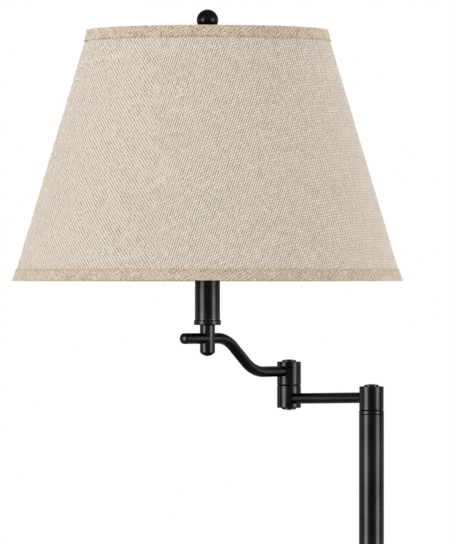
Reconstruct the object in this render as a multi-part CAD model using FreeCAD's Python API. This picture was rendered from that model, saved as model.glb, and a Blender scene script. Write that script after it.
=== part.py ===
import FreeCAD, Part
import math
import os

# A swing arm floor lamp with a fabric shade, in millimetres.
# The origin is on the floor, on the pole's axis. +X is to the viewer's right,
# +Y goes away from the viewer and +Z is up.

# Clearances
fit_gap = 0.05              # round pieces pressed, screwed or brazed together
running_gap = 0.06          # a hole that turns or slides on its shaft
layer_gap = 0.06            # between the layers of the shade
casting_gap = 0.8           # between the base weight and its cover
weight_bore_gap = 0.3       # between the base weight and the nipple through it
lead_gap = 0.7              # between the lead and the bore of a nipple
joint_gap = 0.15            # between the two faces of a swing joint
recess_gap = 0.3            # round a friction washer in its recess
overrun = 1.0               # how far a cutting shape runs past a face
same_point = 1e-6           # points closer than this are one point

# Base cover, from the floor up
base_diameter = 280.0
cover_wall = 1.2
skirt_foot = 1.3            # daylight under the skirt
skirt_height = 17.0
skirt_rounding = 5.0
lower_rise = 3.5            # the lower slope, from the skirt to the step
step_diameter = 196.0
step_rise = 5.0
step_rounding = 3.2
upper_rise = 7.5            # the upper slope, from the step to the hub
hub_diameter = 40.0
hub_rise = 11.0
hub_fillet = 8.0
hub_rounding = 1.5

# Felt, weight and cord inlet
felt_thickness = 2.5
felt_margin = 2.2           # felt's edge to the inside of the skirt
recess_diameter = 64.0      # room for the nut and the splices under the weight
recess_height = 21.5
channel_width = 14.4        # way for the supply cord under the weight
channel_height = 10.5
inlet_height = 6.8          # floor to the middle of the cord inlet
bushing_bore = 6.2
bushing_wall = 1.1
bushing_lip = 0.6
bushing_flange_thickness = 2.0
bushing_tail_thickness = 1.8

# Threaded nipples, nuts and washers
nipple_diameter = 10.0
nipple_end = 0.3            # how far a nipple stands out of its nut
nut_sides = 6
nut_width = 13.0            # across flats
nut_height = 3.0
base_nut_width = 15.0
base_nut_height = 4.5
base_washer_diameter = 26.0
base_washer_thickness = 1.5

# Pole and its foot
pole_diameter = 29.0
pole_wall = 1.2
pole_rounding = 0.6         # outer edges of each section's ends
section_length = 340.3
section_names = ("pole_lower", "pole_middle", "pole_upper")
plug_length = 15.0
plug_grip = 13.0            # length of nipple in the foot plug
coupler_length = 40.0
coupler_wall = 5.0
collar_height = 10.4
collar_foot_width = 4.8     # collar's foot outside the pole
collar_foot_height = 3.6
collar_waist_width = 1.6    # collar's top outside the pole
collar_rounding = 1.2

# Pole head
ring_height = 4.5
ring_lip = 0.1              # ring outside the pole
ring_rounding = 0.8

# Turning barrels
barrel_diameter = 28.4
barrel_height = 27.9        # pole barrel and the elbow's upper barrel
hung_barrel_height = 27.0   # the elbow's lower barrel, which opens down
barrel_rounding = 1.0
barrel_floor = 4.6
nut_room = 0.5              # between a nut's corners and the barrel's bore
friction_washer_thickness = 0.8
friction_washer_margin = 1.25
spring_height = 1.2
spring_thickness = 0.6
spring_margin = 0.6         # spring's edge inside the barrel's bore
cap_lip = 0.5               # cap over the edge of the bore
cap_crown = 2.7
cap_rim = 1.5
cap_rounding = 0.6
cap_skirt_length = 4.0
cap_skirt_wall = 1.3

# Stops of the two swings
stop_diameter = 2.0
stop_root = 1.0
stop_reach = 1.7            # stop pin in its groove
groove_depth = 2.2
groove_gap = 0.3
half_travel = 160.0         # degrees each way from the middle of the travel

# Arms, seen from above: angles in degrees from +X towards +Y
arm_length = 176.0          # axis to axis, the same for both arms
straight_arm_azimuth = 122.4
elbow_angle = 114.4         # how far the elbow is folded from straight
tube_diameter = 12.7
tube_wall = 1.2
tube_setback = 0.6          # tube's end to the barrel's bore
straight_tube_seat = 14.8   # pole barrel's foot to the middle of the straight tube
straight_tube_drop = 3.8    # how much lower the straight tube sits at the elbow
curved_tube_seat = 16.4     # barrel's foot to the middle of the curved tube
lower_bend_radius = 68.0
slope_length = 31.7
upper_bend_radius = 58.8
bend_angle = 34.4
head_length = 21.8          # end of the rise to the post's axis
tail_length = 48.1          # post's axis to the tube's open end
tube_plug_crown = 2.6
tube_plug_rim = 0.6
tube_plug_length = 6.0

# Post, cup and sleeve under the shade
post_diameter = 17.6
post_dome = 4.5
post_below = 20.6           # tube's middle to the tip of the dome
post_above = 15.5           # tube's middle to the top of the post
post_rounding = 0.6
post_thread = 8.0           # length of nipple in the post
cup_diameter = 31.5
cup_height = 6.1
cup_rounding = 1.2
sleeve_diameter = 29.2
sleeve_length = 68.0
sleeve_wall = 1.0
sleeve_rounding = 0.8

# Harp and its saddle
strap_width = 12.0
strap_thickness = 1.5
strap_bend = 4.0
ear_spacing = 55.4          # over the outsides of the saddle's ears
ear_width = 5.0
ear_shoulder = 6.0
ear_height = 20.8
wire_diameter = 4.0
wire_gap = 0.1              # between a wire and its ear
ferrule_gap = 0.15
ferrule_wall = 0.8
ferrule_length = 16.0
harp_height = 257.2         # saddle to the seat of the shade
harp_foot_height = 42.0     # saddle to the corner where the wire spreads
harp_spread_height = 86.0   # saddle to the corner where the wire is widest
harp_taper_height = 178.0   # saddle to the corner where it closes again
harp_width = 116.0          # at its widest, between the wire's middles
harp_top_width = 58.0
harp_foot_bend = 26.0
harp_spread_bend = 44.0
harp_taper_bend = 80.0
harp_top_bend = 17.0
seat_rise = 3.2             # wire's middle to the seat's face
seat_diameter = 15.0
stud_diameter = 6.3
stud_height = 10.6
finial_thread_gap = 1.0     # stud's end to the bottom of its hole

# Finial
finial_ball_diameter = 25.1
finial_height = 34.2
finial_foot_diameter = 14.0
finial_foot_height = 2.4
finial_neck_diameter = 8.4
finial_rounding = 0.6

# Socket
socket_cap_diameter = 34.8
socket_cap_height = 19.3
socket_cap_foot_diameter = 20.0
socket_cap_floor = 3.0
socket_cap_flare = 9.0
socket_wall = 0.7
shell_overlap = 6.0
shell_height = 45.0
liner_wall = 0.9
liner_inset = 1.0
core_height = 18.0
core_inset = 1.0
core_waist_diameter = 22.0
core_waist_height = 8.0
terminal_height = 4.0
terminal_head_diameter = 6.0
terminal_head_thickness = 2.0
terminal_shank_diameter = 3.0
terminal_shank_length = 6.0
thread_wall = 0.4
thread_height = 21.0
knob_level = 13.0           # core's foot to the middle of the knob's shaft
knob_shaft_diameter = 4.0
knob_shaft_depth = 7.0
knob_shaft_length = 31.0    # socket axis to the knob
knob_diameter = 11.0
knob_length = 14.0
knob_rounding = 1.2
knob_flute_diameter = 1.8
knob_flute_count = 12
knob_hole_gap = 0.8

# Bulb
bulb_diameter = 60.0
bulb_length = 108.0
bulb_wall = 0.8
bulb_base_gap = 0.2
bulb_base_length = 24.0
bulb_base_taper = 4.0
bulb_tip_diameter = 9.0
bulb_neck_height = 12.0     # bulb's base to the corner where it starts to swell
bulb_swell_height = 36.0    # bulb's base to the corner where it is full
bulb_neck_bend = 30.0
bulb_swell_bend = 40.0

# Shade, over its trims
shade_top_diameter = 280.6
shade_bottom_diameter = 455.2
shade_height = 291.5
shade_recess = 10.0         # spider's washer below the top rim
trim_width = 13.5
trim_thickness = 1.5
trim_fold_thickness = 0.8
trim_fold_height = 10.0
trim_fold_rounding = 0.6
trim_pocket_height = 4.4
fabric_thickness = 0.7
liner_thickness = 0.6
ring_wire_diameter = 3.0
ring_gap = 0.1
spider_washer_diameter = 26.0
spider_washer_thickness = 1.6
spider_hole_gap = 0.2
spider_root_radius = 10.0
spider_arm_azimuths = (90.0, 210.0, 330.0)
spider_arm_gap = 0.3

# Leads and splices
lead_diameter = 5.0
lead_bend = 6.0
base_lead_bend = 8.0
base_lead_length = 12.0
splice_length = 18.0
splice_collar_length = 6.0
splice_mouth_diameter = 8.4
splice_tip_diameter = 6.0
splice_pitch = 8.8
splice_rounding = 1.5

# Worked out sizes
full_turn = 360
half_turn = 180
quarter_turn = 90
base_radius = base_diameter / 2
nipple_radius = nipple_diameter / 2
nipple_seat_radius = nipple_radius + fit_gap
pivot_hole_radius = nipple_radius + running_gap
lead_radius = lead_diameter / 2
nipple_bore_radius = lead_radius + lead_gap
pole_radius = pole_diameter / 2
pole_bore_radius = pole_radius - pole_wall
plug_radius = pole_bore_radius - fit_gap
barrel_radius = barrel_diameter / 2
nut_corner_radius = nut_width / 2 / math.cos(math.pi / nut_sides)
barrel_bore_radius = nut_corner_radius + nut_room
tube_radius = tube_diameter / 2
tube_bore_radius = tube_radius - tube_wall
tube_inset = barrel_bore_radius + tube_setback
stop_circle_radius = (barrel_bore_radius + barrel_radius) / 2
groove_half_width = stop_diameter / 2 + groove_gap
friction_washer_radius = stop_circle_radius - groove_half_width - friction_washer_margin
cap_radius = barrel_bore_radius + cap_lip
post_radius = post_diameter / 2
wire_radius = wire_diameter / 2
ring_wire_radius = ring_wire_diameter / 2

# Levels above the floor
step_foot_level = skirt_height + lower_rise
step_level = step_foot_level + step_rise
hub_foot_level = step_level + upper_rise
hub_level = hub_foot_level + hub_rise
pole_foot_level = hub_level + collar_height
pole_top_level = pole_foot_level + section_length * len(section_names)
ring_level = pole_top_level + ring_height
lower_barrel_level = ring_level + joint_gap
pole_barrel_top = lower_barrel_level + barrel_height
elbow_level = lower_barrel_level + hung_barrel_height
upper_barrel_level = elbow_level + joint_gap
upper_barrel_top = upper_barrel_level + barrel_height
pole_joint_level = (ring_level + lower_barrel_level) / 2
elbow_joint_level = (elbow_level + upper_barrel_level) / 2
straight_tube_high = lower_barrel_level + straight_tube_seat
straight_tube_low = straight_tube_high - straight_tube_drop
elbow_tube_level = upper_barrel_level + curved_tube_seat
bend_reach_share = math.tan(math.radians(bend_angle) / 2)
bend_reach = (lower_bend_radius + upper_bend_radius) * bend_reach_share
corner_run = slope_length + bend_reach
rise_run = bend_reach + corner_run * math.cos(math.radians(bend_angle))
foot_run = arm_length - head_length - rise_run
post_tube_level = elbow_tube_level + corner_run * math.sin(math.radians(bend_angle))
post_level = post_tube_level + post_above
cup_level = post_level + cup_height
saddle_level = cup_level + sleeve_length
strap_level = saddle_level + strap_thickness
socket_level = strap_level + nut_height
shell_level = socket_level + socket_cap_height - shell_overlap
liner_level = shell_level + liner_inset
core_level = liner_level + core_inset
thread_level = core_level + core_height
knob_axis_level = core_level + knob_level
bulb_glass_level = thread_level + bulb_base_length
seat_level = saddle_level + harp_height
finial_level = seat_level + spider_washer_thickness
shade_top_level = finial_level + shade_recess
shade_bottom_level = shade_top_level - shade_height


def vector(x, y, z):
    return FreeCAD.Vector(x, y, z)


def polar(radius, azimuth, level):
    angle = math.radians(azimuth)
    return vector(radius * math.cos(angle), radius * math.sin(angle), level)


origin = vector(0, 0, 0)
up = vector(0, 0, 1)
forearm_azimuth = straight_arm_azimuth + elbow_angle
elbow_place = polar(arm_length, straight_arm_azimuth, 0)
post_place = elbow_place + polar(arm_length, forearm_azimuth, 0)


def placed(shape, place, azimuth=0):
    """A copy turned about Z by azimuth and then moved to place."""
    moved = shape.copy()
    moved.rotate(origin, up, azimuth)
    moved.translate(place)
    return moved


def outline(points, roundings):
    """Edges of a closed flat outline, with each corner rounded by its own radius."""
    corners = []
    for index, (corner, rounding) in enumerate(zip(points, roundings)):
        if not rounding:
            corners.append((corner, None, corner))
            continue
        back = (points[index - 1] - corner).normalize()
        onward = (points[(index + 1) % len(points)] - corner).normalize()
        half_corner = back.getAngle(onward) / 2
        reach = rounding / math.tan(half_corner)
        middle_run = rounding / math.sin(half_corner) - rounding
        middle = corner + (back + onward).normalize() * middle_run
        corners.append((corner + back * reach, middle, corner + onward * reach))
    edges = []
    for (begin, middle, end), (following, _, _) in zip(corners, corners[1:] + corners[:1]):
        if middle is not None:
            edges.append(Part.Arc(begin, middle, end).toShape())
        if end.distanceToPoint(following) > same_point:
            edges.append(Part.LineSegment(end, following).toShape())
    return edges


def crown(edge, tip):
    """A round crown about the Z axis, from a point on its edge to its tip."""
    rise = tip.z - edge.z
    ball = (edge.x ** 2 + rise ** 2) / (2 * abs(rise))
    centre = tip.z - math.copysign(ball, rise)
    half_angle = math.asin(edge.x / ball) / 2
    middle_level = centre + math.copysign(ball * math.cos(half_angle), rise)
    middle = vector(ball * math.sin(half_angle), 0, middle_level)
    return Part.Arc(edge, middle, tip).toShape()


def turned(corners, crowned=False):
    """A solid turned about Z from corners (radius, level) or (radius, level, rounding).

    When crowned, a round crown joins the last corner to the first, on the axis."""
    points = [vector(corner[0], 0, corner[1]) for corner in corners]
    roundings = [corner[2] if len(corner) > 2 else 0 for corner in corners]
    edges = outline(points, roundings)
    if crowned:
        edges[-1] = crown(edges[-1].Vertexes[0].Point, points[0])
    return Part.Face(Part.Wire(edges)).revolve(origin, up, full_turn)


def tube(outer_radius, inner_radius, low, high):
    """An upright tube about the Z axis."""
    return turned([(inner_radius, low), (outer_radius, low), (outer_radius, high), (inner_radius, high)])


def bent_rod(points, bends, radius):
    """A round rod through points, with a bend of its own radius at each inner point."""
    solids = []
    place = points[0]
    for before, corner, after, bend in zip(points, points[1:], points[2:], bends):
        onward = (corner - before).normalize()
        turned_to = (after - corner).normalize()
        turn = onward.getAngle(turned_to)
        reach = bend * math.tan(turn / 2)
        start = corner - onward * reach
        axis = onward.cross(turned_to).normalize()
        centre = start + axis.cross(onward) * bend
        solids.append(Part.makeCylinder(radius, place.distanceToPoint(start), place, onward))
        disc = Part.Face(Part.Wire(Part.Circle(start, onward, radius).toShape()))
        solids.append(disc.revolve(centre, axis, math.degrees(turn)))
        place = corner + turned_to * reach
    last_run = points[-1] - place
    solids.append(Part.makeCylinder(radius, last_run.Length, place, last_run))
    return solids[0].multiFuse(solids[1:]).removeSplitter() if len(solids) > 1 else solids[0]


def hex_nut(width, height, level):
    """A nut on a nipple, with its foot at level."""
    corner_radius = width / 2 / math.cos(math.pi / nut_sides)
    corners = [polar(corner_radius, side * full_turn / nut_sides, level) for side in range(nut_sides + 1)]
    blank = Part.Face(Part.makePolygon(corners)).extrude(up * height)
    return blank.cut(Part.makeCylinder(nipple_seat_radius, height, vector(0, 0, level)))


def nipple(low, high):
    return tube(nipple_radius, nipple_bore_radius, low, high)


# Base

def cover_corners(inset):
    """The base's outline from the top of its skirt to the foot of its hub, drawn in by inset."""
    return [
        (base_radius - inset, skirt_height - inset, skirt_rounding),
        (step_diameter / 2 - inset, step_foot_level - inset),
        (step_diameter / 2 - inset, step_level - inset, step_rounding),
        (hub_diameter / 2 - inset, hub_foot_level - inset, hub_fillet),
    ]


def base_cover():
    outside = [(base_radius, skirt_foot)] + cover_corners(0)
    outside += [(hub_diameter / 2, hub_level, hub_rounding), (nipple_seat_radius, hub_level)]
    roof = hub_level - cover_wall
    inside = [(base_radius - cover_wall, skirt_foot)] + cover_corners(cover_wall)
    inside += [(hub_diameter / 2 - cover_wall, roof), (nipple_seat_radius, roof)]
    shell = turned(outside + inside[::-1])
    hole_radius = bushing_bore / 2 + bushing_wall + fit_gap
    low = vector(0, base_radius - 2 * bushing_tail_thickness - cover_wall, inlet_height)
    return shell.cut(Part.makeCylinder(hole_radius, base_radius, low, vector(0, 1, 0)))


def base_felt():
    return Part.makeCylinder(base_radius - cover_wall - felt_margin, felt_thickness)


def base_weight():
    inset = cover_wall + casting_gap
    hole_radius = nipple_radius + weight_bore_gap
    recess_radius = recess_diameter / 2
    recess_roof = felt_thickness + recess_height
    roof = hub_level - cover_wall
    corners = [(recess_radius, felt_thickness), (base_radius - inset, felt_thickness)]
    corners += cover_corners(inset)
    corners += [(hub_diameter / 2 - inset, roof), (hole_radius, roof)]
    corners += [(hole_radius, recess_roof), (recess_radius, recess_roof)]
    channel = Part.makeBox(channel_width, base_radius, channel_height + overrun)
    channel.translate(vector(-channel_width / 2, 0, felt_thickness - overrun))
    return turned(corners).cut(channel)


def cord_bushing():
    """A rubber bushing in the back of the skirt, made upright and then laid along +Y."""
    bore = bushing_bore / 2
    body = bore + bushing_wall
    rim = body + bushing_lip
    outer_face = bushing_flange_thickness
    inner_face = -cover_wall - 2 * layer_gap
    tail = inner_face - bushing_tail_thickness
    blank = turned([
        (bore, tail), (rim, tail, bushing_lip), (rim, inner_face), (body, inner_face), (body, 0),
        (rim, 0), (rim, outer_face, bushing_lip), (bore, outer_face),
    ])
    blank.rotate(origin, vector(1, 0, 0), -quarter_turn)
    blank.translate(vector(0, base_radius, inlet_height))
    return blank


def base_collar():
    foot = pole_radius + collar_foot_width
    waist = pole_radius + collar_waist_width
    foot_top = hub_level + collar_foot_height
    return turned([
        (nipple_seat_radius, hub_level), (foot, hub_level, collar_rounding),
        (foot, foot_top, collar_rounding), (waist, foot_top, collar_rounding),
        (waist, pole_foot_level, collar_rounding), (nipple_seat_radius, pole_foot_level),
    ])


recess_roof_level = felt_thickness + recess_height
base_nut_level = recess_roof_level - base_washer_thickness - base_nut_height


def base_washer():
    low = recess_roof_level - base_washer_thickness
    return tube(base_washer_diameter / 2, nipple_seat_radius, low, recess_roof_level)


def base_lead_points():
    """The pole's lead comes down the axis and turns back towards the cord inlet."""
    return [
        vector(0, 0, pole_joint_level), vector(0, 0, inlet_height),
        vector(0, base_lead_length, inlet_height),
    ]


def splice_caps():
    """Two screw-on caps that join the lead's wires to the supply cord's."""
    mouth = splice_mouth_diameter / 2
    tip = splice_tip_diameter / 2
    blank = turned([
        (0, 0), (mouth, 0), (mouth, splice_collar_length), (tip, splice_length, splice_rounding),
        (0, splice_length),
    ])
    blank.rotate(origin, vector(1, 0, 0), -quarter_turn)
    places = [vector(side * splice_pitch / 2, base_lead_length, inlet_height) for side in (-1, 1)]
    return [placed(blank, place) for place in places]


# Pole

def pole_sections():
    sections = {}
    for number, name in enumerate(section_names):
        low = pole_foot_level + number * section_length
        high = low + section_length
        sections[name] = turned([
            (pole_bore_radius, low), (pole_radius, low, pole_rounding),
            (pole_radius, high, pole_rounding), (pole_bore_radius, high),
        ])
    return sections


def pole_couplers():
    """Threaded joiners inside the pole, half in each section."""
    couplers = []
    for number in range(1, len(section_names)):
        seam = pole_foot_level + number * section_length
        low = seam - coupler_length / 2
        couplers.append(tube(plug_radius, plug_radius - coupler_wall, low, low + coupler_length))
    return couplers


def stop_pin(level, azimuth):
    """A pin that stands on a face and stops the barrel above it."""
    height = stop_root + joint_gap + stop_reach
    return Part.makeCylinder(stop_diameter / 2, height, polar(stop_circle_radius, azimuth, level - stop_root))


pole_stop_azimuth = straight_arm_azimuth + half_turn
elbow_stop_azimuth = straight_arm_azimuth


def pole_ring():
    ring = pole_radius + ring_lip
    blank = turned([
        (nipple_seat_radius, pole_top_level), (ring, pole_top_level, ring_rounding),
        (ring, ring_level, ring_rounding), (nipple_seat_radius, ring_level),
    ])
    return blank.fuse(stop_pin(ring_level, pole_stop_azimuth)).removeSplitter()


pole_plug_level = pole_top_level - plug_length
pole_nut_levels = (pole_plug_level - nut_height, lower_barrel_level + barrel_floor + spring_height)


def friction_washer(level):
    return tube(friction_washer_radius, pivot_hole_radius, level, level + friction_washer_thickness)


def disc_spring(level):
    """A coned spring washer that presses a barrel on its friction washer."""
    rim = barrel_bore_radius - spring_margin
    high = level + spring_height
    return turned([
        (pivot_hole_radius, high - spring_thickness), (rim, level), (rim, level + spring_thickness),
        (pivot_hole_radius, high),
    ])


# Barrels

def towards(azimuth, climb=0):
    """The way a tube leaves its barrel's axis, with its climb over the length of an arm."""
    return polar(arm_length, azimuth, climb).normalize()


def barrel(face, rim, tube_level, onward):
    """A bored barrel from its joint face to its open rim, with a seat for its tube."""
    floor = face + math.copysign(barrel_floor, rim - face)
    blank = turned([
        (pivot_hole_radius, face), (barrel_radius, face, barrel_rounding),
        (barrel_radius, rim, barrel_rounding), (barrel_bore_radius, rim),
        (barrel_bore_radius, floor), (pivot_hole_radius, floor),
    ])
    seat_start = onward * (tube_inset - fit_gap) + up * tube_level
    seat = Part.makeCylinder(tube_radius + fit_gap, barrel_radius, seat_start, onward)
    lead_way = Part.makeCylinder(tube_bore_radius, tube_inset, up * tube_level, onward)
    return blank.cut(seat).cut(lead_way)


def stop_groove(foot, middle_azimuth):
    """The arc in a barrel's foot that the stop pin runs in, with round ends."""
    low = foot - overrun
    first = middle_azimuth - half_travel
    last = middle_azimuth + half_travel
    inner = stop_circle_radius - groove_half_width
    outer = stop_circle_radius + groove_half_width
    past_last = polar(stop_circle_radius, last, low) + polar(groove_half_width, last + quarter_turn, 0)
    past_first = polar(stop_circle_radius, first, low) + polar(groove_half_width, first - quarter_turn, 0)
    arcs = [
        Part.Arc(polar(outer, first, low), polar(outer, middle_azimuth, low), polar(outer, last, low)),
        Part.Arc(polar(outer, last, low), past_last, polar(inner, last, low)),
        Part.Arc(polar(inner, last, low), polar(inner, middle_azimuth, low), polar(inner, first, low)),
        Part.Arc(polar(inner, first, low), past_first, polar(outer, first, low)),
    ]
    track = Part.Face(Part.Wire([arc.toShape() for arc in arcs]))
    return track.extrude(up * (groove_depth + overrun))


def washer_recess(foot):
    """The recess in a barrel's foot that the friction washer lies in."""
    depth = friction_washer_thickness - joint_gap
    recess_radius = friction_washer_radius + recess_gap
    return Part.makeCylinder(recess_radius, depth + overrun, up * (foot - overrun))


def button_cap(level, points_up):
    """A low crowned cap with a ring skirt pressed in the barrel's bore."""
    sign = 1 if points_up else -1
    skirt = barrel_bore_radius - fit_gap
    skirt_bore = skirt - cap_skirt_wall
    deep = level - sign * cap_skirt_length
    edge = level + sign * cap_rim
    return turned([
        (0, level + sign * cap_crown), (0, level), (skirt_bore, level), (skirt_bore, deep),
        (skirt, deep), (skirt, level), (cap_radius, level), (cap_radius, edge, cap_rounding),
    ], crowned=True)


def pole_barrel():
    onward = towards(straight_arm_azimuth, -straight_tube_drop)
    body = barrel(lower_barrel_level, pole_barrel_top, straight_tube_high, onward)
    groove = stop_groove(lower_barrel_level, pole_stop_azimuth)
    return body.cut(groove).cut(washer_recess(lower_barrel_level))


def elbow_lower_barrel():
    onward = towards(straight_arm_azimuth + half_turn, straight_tube_drop)
    body = barrel(elbow_level, lower_barrel_level, straight_tube_low, onward)
    return body.fuse(stop_pin(elbow_level, elbow_stop_azimuth)).removeSplitter()


def elbow_upper_barrel():
    body = barrel(upper_barrel_level, upper_barrel_top, elbow_tube_level, towards(forearm_azimuth))
    groove = stop_groove(upper_barrel_level, elbow_stop_azimuth + elbow_angle)
    return body.cut(groove).cut(washer_recess(upper_barrel_level))


elbow_nut_levels = (
    elbow_level - barrel_floor - nut_height,
    upper_barrel_level + barrel_floor + spring_height,
)


# Arms, made along +X from the axis they start at

def straight_tube():
    onward = towards(0, -straight_tube_drop)
    start = up * straight_tube_high + onward * tube_inset
    length = math.hypot(arm_length, straight_tube_drop) - 2 * tube_inset
    outside = Part.makeCylinder(tube_radius, length, start, onward)
    return outside.cut(Part.makeCylinder(tube_bore_radius, length, start, onward))


def straight_lead():
    points = [
        vector(0, 0, pole_joint_level), vector(0, 0, straight_tube_high),
        vector(arm_length, 0, straight_tube_low), vector(arm_length, 0, elbow_joint_level),
    ]
    return bent_rod(points, [lead_bend, lead_bend], lead_radius)


def rise_corners():
    """The two corners of the curved tube's rise, before they are rounded."""
    angle = math.radians(bend_angle)
    first = vector(foot_run + lower_bend_radius * bend_reach_share, 0, elbow_tube_level)
    return [first, first + vector(corner_run * math.cos(angle), 0, corner_run * math.sin(angle))]


tail_end = arm_length + tail_length


def curved_tube():
    bends = [lower_bend_radius, upper_bend_radius]
    start = vector(tube_inset, 0, elbow_tube_level)
    end = vector(tail_end, 0, post_tube_level)
    run_past = vector(overrun, 0, 0)
    outside = bent_rod([start] + rise_corners() + [end], bends, tube_radius)
    inside = bent_rod([start - run_past] + rise_corners() + [end + run_past], bends, tube_bore_radius)
    lead_hole_radius = lead_radius + 2 * lead_gap
    lead_hole = Part.makeCylinder(lead_hole_radius, tube_diameter, vector(arm_length, 0, post_tube_level))
    return outside.cut(inside).cut(lead_hole)


def tube_end_plug():
    stem = tube_bore_radius - fit_gap
    blank = turned([
        (0, tube_plug_crown), (0, -tube_plug_length), (stem, -tube_plug_length), (stem, 0),
        (tube_radius, 0), (tube_radius, tube_plug_rim),
    ], crowned=True)
    blank.rotate(origin, vector(0, 1, 0), quarter_turn)
    blank.translate(vector(tail_end, 0, post_tube_level))
    return blank


def curved_lead():
    points = [vector(0, 0, elbow_joint_level), vector(0, 0, elbow_tube_level)] + rise_corners()
    points += [vector(arm_length, 0, post_tube_level), vector(arm_length, 0, core_level)]
    return bent_rod(points, [lead_bend, lower_bend_radius, upper_bend_radius, lead_bend], lead_radius)


# Post, cup and sleeve, made about the post's axis

def socket_post():
    tip = post_tube_level - post_below
    thread_foot = post_level - post_thread
    blank = turned([
        (0, tip), (0, post_tube_level), (nipple_bore_radius, post_tube_level),
        (nipple_bore_radius, thread_foot), (nipple_seat_radius, thread_foot),
        (nipple_seat_radius, post_level), (post_radius, post_level, post_rounding),
        (post_radius, tip + post_dome),
    ], crowned=True)
    onward = polar(1, forearm_azimuth, 0)
    start = up * post_tube_level - onward * post_diameter
    return blank.cut(Part.makeCylinder(tube_radius + fit_gap, 2 * post_diameter, start, onward))


def socket_cup():
    rim = cup_diameter / 2
    return turned([
        (nipple_seat_radius, post_level), (rim, post_level, cup_rounding),
        (rim, cup_level, cup_rounding), (nipple_seat_radius, cup_level),
    ])


def neck_sleeve():
    outer = sleeve_diameter / 2
    roof = saddle_level - sleeve_wall
    return turned([
        (outer, cup_level), (outer, saddle_level, sleeve_rounding),
        (nipple_seat_radius, saddle_level), (nipple_seat_radius, roof),
        (outer - sleeve_wall, roof), (outer - sleeve_wall, cup_level),
    ])


# Harp

ear_outside = ear_spacing / 2
ear_inside = ear_outside - strap_thickness
wire_place = ear_outside + wire_gap + wire_radius
ferrule_place = (ear_inside + wire_place + wire_radius) / 2
ferrule_half_span = (wire_place + wire_radius - ear_inside) / 2
ferrule_bore_radius = math.hypot(ferrule_half_span, ear_width / 2) + ferrule_gap


def harp_saddle():
    """A strap bent up at both ends into ears, narrow above their shoulders."""
    ear_top = saddle_level + ear_height
    corners = [
        (-ear_outside, ear_top, 0), (-ear_outside, saddle_level, strap_bend),
        (ear_outside, saddle_level, strap_bend), (ear_outside, ear_top, 0), (ear_inside, ear_top, 0),
        (ear_inside, strap_level, strap_bend - strap_thickness),
        (-ear_inside, strap_level, strap_bend - strap_thickness), (-ear_inside, ear_top, 0),
    ]
    points = [vector(x, -strap_width / 2, level) for x, level, _ in corners]
    edges = outline(points, [rounding for _, _, rounding in corners])
    strap = Part.Face(Part.Wire(edges)).extrude(vector(0, strap_width, 0))
    for side in (-1, 1):
        waste = Part.makeBox(2 * ear_spacing, strap_width, ear_height)
        side_step = side * (ear_width + strap_width) / 2
        waste.translate(vector(-ear_spacing, side_step - strap_width / 2, saddle_level + ear_shoulder))
        strap = strap.cut(waste)
    return strap.cut(Part.makeCylinder(nipple_seat_radius, 2 * strap_thickness, up * saddle_level))


def harp_bow():
    """One bent wire from ear to ear, with a seat and a threaded stud at its top."""
    half = [
        (wire_place, ear_shoulder + ferrule_gap), (wire_place, harp_foot_height),
        (harp_width / 2, harp_spread_height), (harp_width / 2, harp_taper_height),
        (harp_top_width / 2, harp_height - seat_rise),
    ]
    right = [vector(x, 0, saddle_level + height) for x, height in half]
    left = [vector(-x, 0, saddle_level + height) for x, height in half[::-1]]
    bends = [harp_foot_bend, harp_spread_bend, harp_taper_bend, harp_top_bend]
    wire = bent_rod(right + left, bends + bends[::-1], wire_radius)
    seat_foot = up * (seat_level - seat_rise)
    seat = Part.makeCylinder(seat_diameter / 2, seat_rise, seat_foot)
    stud = Part.makeCylinder(stud_diameter / 2, seat_rise + stud_height, seat_foot)
    return wire.fuse(seat).fuse(stud).removeSplitter()


def harp_ferrule(side):
    low = saddle_level + ear_shoulder
    blank = tube(ferrule_bore_radius + ferrule_wall, ferrule_bore_radius, low, low + ferrule_length)
    return placed(blank, vector(side * ferrule_place, 0, 0))


def finial():
    """A ball on a short neck, screwed on the harp's stud."""
    ball_radius = finial_ball_diameter / 2
    ball_level = finial_level + finial_height - ball_radius
    foot = finial_foot_diameter / 2
    foot_top = finial_level + finial_foot_height
    neck = finial_neck_diameter / 2
    body = turned([
        (0, finial_level), (foot, finial_level, finial_rounding), (foot, foot_top, finial_rounding),
        (neck, foot_top, finial_rounding), (neck, ball_level), (0, ball_level),
    ])
    ball = Part.makeSphere(ball_radius, up * ball_level)
    depth = stud_height - spider_washer_thickness + finial_thread_gap
    hole = Part.makeCylinder(stud_diameter / 2 + running_gap, depth, up * finial_level)
    return body.fuse(ball).removeSplitter().cut(hole)


# Socket, from the outside in

cap_outer_radius = socket_cap_diameter / 2
shell_outer_radius = cap_outer_radius - socket_wall - fit_gap
liner_outer_radius = shell_outer_radius - socket_wall - fit_gap
core_radius = liner_outer_radius - liner_wall - fit_gap
knob_shaft_radius = knob_shaft_diameter / 2
bulb_base_radius = core_radius - 2 * thread_wall - bulb_base_gap - 2 * socket_wall


def socket_cap():
    foot = socket_cap_foot_diameter / 2
    flare_level = socket_level + socket_cap_flare
    top = socket_level + socket_cap_height
    floor = socket_level + socket_cap_floor
    flare_share = socket_cap_floor / socket_cap_flare
    floor_radius = foot - socket_wall + (cap_outer_radius - foot) * flare_share
    bore = cap_outer_radius - socket_wall
    bend = socket_cap_flare / 2
    return turned([
        (nipple_seat_radius, socket_level), (foot, socket_level), (cap_outer_radius, flare_level, bend),
        (cap_outer_radius, top), (bore, top), (bore, flare_level, bend), (floor_radius, floor),
        (nipple_seat_radius, floor),
    ])


def knob_way(radius):
    """A hole for the knob's shaft, from the socket's axis out through its front."""
    return Part.makeCylinder(radius, socket_cap_diameter, up * knob_axis_level, vector(0, -1, 0))


def socket_shell():
    wall = tube(shell_outer_radius, shell_outer_radius - socket_wall, shell_level, shell_level + shell_height)
    return wall.cut(knob_way(knob_shaft_radius + knob_hole_gap))


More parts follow.
